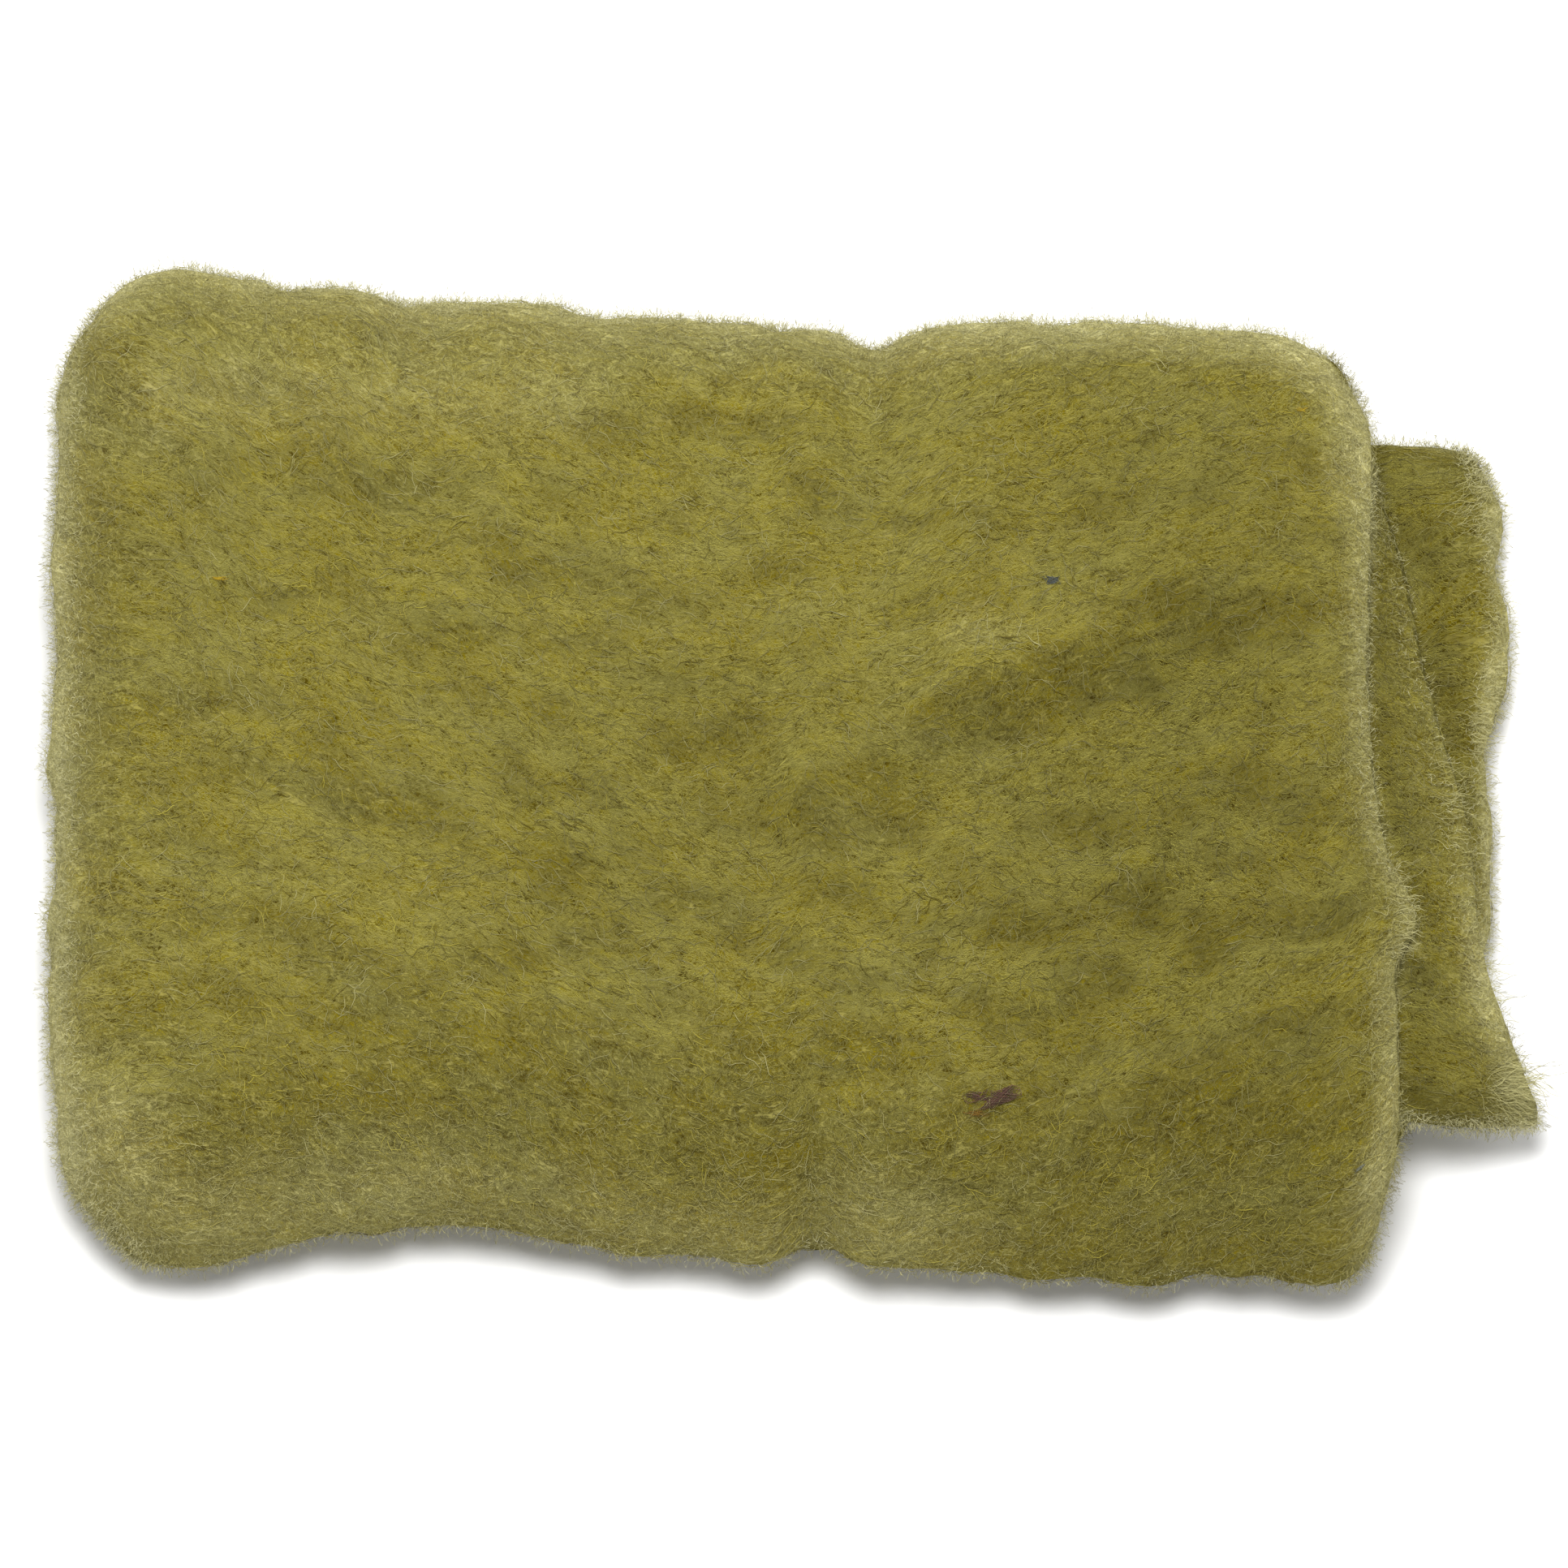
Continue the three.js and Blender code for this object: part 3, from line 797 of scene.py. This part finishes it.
def standing_fibres(count, places, length, height, spread, steps=4):
    """Loops and free ends that stand off the skin."""
    u0, v0 = roots(count, places)
    n = len(u0)
    root, out, ahead, beside = (part[:, None] for part in skin_frame(u0, v0))
    angle = (heading(u0, v0, spread) + np.pi * fibre_dice.integers(0, 2, n))[:, None, None]
    run_way = ahead * np.cos(angle) + beside * np.sin(angle)
    curl_way = beside * np.cos(angle) - ahead * np.sin(angle)
    t = np.linspace(0, 1, steps)[None, :, None]
    loop = fibre_dice.random((n, 1, 1)) < 0.5
    long = fibre_dice.uniform(*length, (n, 1, 1))
    high = fibre_dice.uniform(0.15, 1, (n, 1, 1)) ** 1.5 * height
    rise = high * np.where(loop, np.sin(np.pi * t), np.sin(np.pi / 2 * t)) - 0.15 * (1 - t)
    phase = fibre_dice.uniform(0, 2 * np.pi, (n, 1, 1))
    curl = 0.16 * long * (np.sin(2 * np.pi * 0.8 * t + phase) - np.sin(phase))
    return root + run_way * long * t * np.where(loop, 0.8, 0.65) + curl_way * curl + out * rise


standing_places = [
    (TOP_START, FOLD_START, 0, 1, 40),
    (TOP_START, FOLD_START, -0.03, 0.17, 10),
    (TOP_START, FOLD_START, 0.82, 1.03, 9),
    (TOP_START, TOP_START + 8, 0, 1.3, 7),
    (FOLD_START - 12, BOTTOM_START, 0, 1, 12),
    (BOTTOM_START, RIGHT_START, -0.08, 0.06, 2),
    (BOTTOM_START, RIGHT_START, 0.94, 1.08, 2),
    (RIGHT_START - 8, THIRD_START + 22, 0, 1, 6),
    (TONGUE_STOP - 34, TONGUE_STOP, 0, 2, 9),
]
STANDING = 14000
fibre_piece(
    "olive_fuzz", fibre_wool("olive_fuzz_wool", srgb(108, 97, 26), srgb(160, 150, 76)),
    standing_fibres(STANDING, standing_places, (1.7, 4.4), 2.1, 1.1), (0.028, 0.046), 0.2)

# The pale fuzz. The fibres are loosest along the raw end, the long sides and the folds. They stand higher
# there, and their paler colour is painted light, for the light that comes through them.
edge_places = [
    (TOP_START, FOLD_START, 0, 1, 2),
    (TOP_START, FOLD_START, -0.02, 0.15, 15),
    (TOP_START, FOLD_START, 0.84, 1.0, 16),
    (TOP_START, TOP_START + 7, 0, 1.2, 13),
    (FOLD_START - 6, FOLD_START + 44, 0, 1, 22),
    (RIGHT_START + 2, THIRD_START, 0, 1, 9),
    (TONGUE_STOP - 12, TONGUE_STOP, 0.9, 2.1, 14),
]
EDGE = 24000
fibre_piece(
    "pale_fuzz", fibre_wool("pale_fuzz_painted_light_wool", srgb(130, 122, 60), srgb(178, 171, 112)),
    standing_fibres(EDGE, edge_places, (1.6, 3.8), 2.9, 1.5, 3), (0.026, 0.046), -0.15)

# The edge haze. The finest and loosest fibres stand off the outline itself. Their pale colour is painted
# light, for the light that comes through them from all sides, so that the rim of the batt fades out softly.
haze_places = [
    (TOP_START, FOLD_START, -0.04, 0.04, 4),
    (TOP_START, FOLD_START, 0.9, 1.02, 22),
    (TOP_START, TOP_START + 3, 0.3, 1.1, 2),
    (FOLD_START + 12, FOLD_START + 44, 0, 1, 24),
    (RIGHT_START - 26, THIRD_START + 30, 0.96, 1.04, 7),
    (RIGHT_START + 4, THIRD_START - 4, 0, 1, 16),
    (TONGUE_STOP - 6, TONGUE_STOP, 0, 2, 3),
    (TONGUE_STOP - 34, TONGUE_STOP, -0.05, 0.05, 7),
]
HAZE = 30000
fibre_piece(
    "edge_haze", fibre_wool("edge_haze_painted_light_wool", srgb(182, 176, 122), srgb(224, 219, 174)),
    standing_fibres(HAZE, haze_places, (1.2, 3.2), 2.4, 1.6, 3), (0.03, 0.055))

# The torn wisps. Where the sheet was pulled apart by hand, and along the rim of the fold, small bundles
# of its fibres are drawn out and fan over the edge.


def nearest_on_skin(x, y, first_stage, last_stage):
    """The point of the skin, in some stages of the sheet, that is nearest to x and y seen from above."""
    away = np.hypot(sheet_points[..., 0] - x, sheet_points[..., 1] - y) - 0.05 * sheet_points[..., 2]
    away = np.where((along_grid >= first_stage) & (along_grid <= last_stage), away, 1e3)
    return sheet_points.reshape(-1, 3)[np.argmin(away)]


def tuft(x, y, stages, count, toward, length, root_size):
    """A wisp of fibres pulled out of the sheet, fanning towards a direction in degrees seen from above."""
    root = nearest_on_skin(x, y, *stages) + fibre_dice.normal(0, 1, (count, 1, 3)) * root_size
    angle = np.radians(toward + fibre_dice.normal(0, 22, (count, 1, 1)))
    way = np.concatenate([np.cos(angle), np.sin(angle), fibre_dice.normal(0, 0.2, (count, 1, 1))], -1)
    t = np.linspace(0, 1, 7)[None, :, None]
    long = fibre_dice.uniform(0.35, 1, (count, 1, 1)) * length
    bend = np.concatenate([-np.sin(angle), np.cos(angle), np.full_like(angle, 0.3)], -1)
    curl = np.sin(2 * np.pi * t * 0.9 + fibre_dice.uniform(0, 6.3, (count, 1, 1)))
    return root + way * long * t + bend * curl * 0.08 * long


# x, y, first and last stage of the course, number of fibres, direction, length, size of the root
wisps = np.concatenate([
    tuft(134, -57, (6.6, 7), 200, -4, 9, (2.5, 1.8, 1.2)),
    tuft(130, -40, (6.6, 7), 60, 8, 5.5, (2, 4, 1)),
    tuft(134, 31, (3, 4), 60, 0, 5, (2, 4, 2)),
    tuft(131, 12, (3, 4), 80, -20, 6, (1.5, 4, 2)),
    tuft(130, 52, (3, 4), 80, 20, 5.5, (2, 3, 2)),
    tuft(126, -8, (6.6, 7), 70, 0, 6, (2, 5, 1)),
    tuft(116, -34, (0, 0.1), 70, 0, 5, (1, 5, 1.5)),
])
fibre_piece(
    "torn_wisps", fibre_wool("torn_wisp_wool", srgb(140, 133, 76), srgb(196, 190, 134)), wisps, (0.03, 0.05))

# The purple nep. It is a knot of short brown-purple fibres that the carder didn't comb out. It is rolled
# up on the top layer near the front edge, with a few stray fibres beside it.


def knot(x, y, count, size, turn=0.0):
    """A nep: a few short fibres rolled into a knot on the top layer, drawn out in a direction in degrees."""
    centre = nearest_on_skin(x, y, 0, 1) + np.array([0, 0, 0.25])
    start, swing = fibre_dice.uniform(0, 2 * np.pi, (2, count, 1, 1))
    t = np.linspace(0, 1, 5)[None, :, None]
    angle = start + 4.0 * t
    reach = fibre_dice.uniform(0.35, 1, (count, 1, 1))
    drawn_out = np.cos(angle) * reach * size[0] + fibre_dice.normal(0, 0.35, (count, 1, 1)) * size[0]
    thick = np.sin(angle + swing) * reach * size[1]
    way = np.radians(turn)
    arc = [drawn_out * np.cos(way) - thick * np.sin(way), drawn_out * np.sin(way) + thick * np.cos(way),
           np.sin(angle) * reach * size[2]]
    return centre + np.concatenate(arc, -1)


fibre_piece(
    "purple_nep", fibre_wool("purple_nep_wool", srgb(40, 22, 20), srgb(120, 84, 76)),
    np.concatenate([knot(46.9, -67.3, 84, (3.0, 1.5, 0.4), 20), knot(41.8, -68.0, 30, (2.0, 1.1, 0.2), 15)]),
    (0.03, 0.062))

# The orange tail. A few orange-brown fibres drawn out of the nep lie flat on the wool in front of it.
fibre_piece(
    "orange_tail", fibre_wool("orange_tail_wool", srgb(112, 80, 28), srgb(142, 108, 42)),
    knot(42.9, -69.2, 26, (1.8, 0.7, 0.3), 8), (0.03, 0.055))

# The slate flecks. They are two small knots of blue-grey wool, carded into the top layer from another
# colour: one behind the long ridge, one near the front right corner.
fibre_piece(
    "slate_flecks", fibre_wool("slate_wool", srgb(54, 58, 64), srgb(98, 104, 100)),
    np.concatenate([knot(56, 27, 30, (1.5, 0.9, 0.3)), knot(108.4, -79, 20, (0.9, 0.25, 0.15), 40)]),
    (0.04, 0.07))

# The yellow flecks. They are two small knots of a brighter yellow wool, one near the left edge and one
# near the back right corner, rolled up in the carder like the others.
fibre_piece(
    "yellow_flecks", fibre_wool("bright_yellow_wool", srgb(150, 122, 20), srgb(184, 158, 40)),
    np.concatenate([knot(-89, 28.5, 22, (1.1, 0.4, 0.25)), knot(100.6, 60.7, 12, (0.9, 0.5, 0.3))]),
    (0.04, 0.06))

# The table: a plain pale sheet under plain soft studio light.
bpy.ops.object.select_all(action="DESELECT")
bpy.ops.mesh.primitive_plane_add(size=6, location=(0, 0, 0))
floor = bpy.context.active_object
floor.name = "pale_floor"
paper = bpy.data.materials.new("pale_paper")
paper.use_nodes = True
paper_shader = paper.node_tree.nodes["Principled BSDF"]
paper_shader.inputs["Base Color"].default_value = (0.93, 0.93, 0.93, 1)
paper_shader.inputs["Roughness"].default_value = 0.9
floor.data.materials.append(paper)

world = bpy.data.worlds.new("soft_room")
bpy.context.scene.world = world
world.use_nodes = True
world.node_tree.nodes["Background"].inputs["Color"].default_value = (1, 1, 1, 1)
world.node_tree.nodes["Background"].inputs["Strength"].default_value = 0.48


def softbox(name, place, aim, size, power):
    light = bpy.data.lights.new(name, "AREA")
    light.shape, light.size, light.energy = "DISK", size, power
    lamp = bpy.data.objects.new(name, light)
    bpy.context.scene.collection.objects.link(lamp)
    lamp.location = place
    lamp.rotation_euler = (Vector(aim) - Vector(place)).to_track_quat("-Z", "Y").to_euler()
    return lamp


softbox("overhead_softbox", (0.0, -0.17, 1.3), (0, 0, 0), 0.34, 18.4)
softbox("back_softbox", (0.0, 1.0, 0.75), (0, 0, 0), 0.5, 4.0)

# The camera, in front of the batt and high above it, with a long lens
camera_data = bpy.data.cameras.new("camera")
camera_data.lens, camera_data.sensor_width = 240, 36
camera = bpy.data.objects.new("camera", camera_data)
bpy.context.scene.collection.objects.link(camera)
aim = Vector((0.00935, -0.0021, 0.030))
ELEVATION, DISTANCE = np.radians(70), 1.845
camera.location = aim + DISTANCE * Vector((0, -np.cos(ELEVATION), np.sin(ELEVATION)))
camera.rotation_euler = (aim - camera.location).to_track_quat("-Z", "Y").to_euler()
camera_data.clip_start, camera_data.clip_end = 0.05, 20
bpy.context.scene.camera = camera
bpy.context.scene.view_settings.view_transform = "Standard"
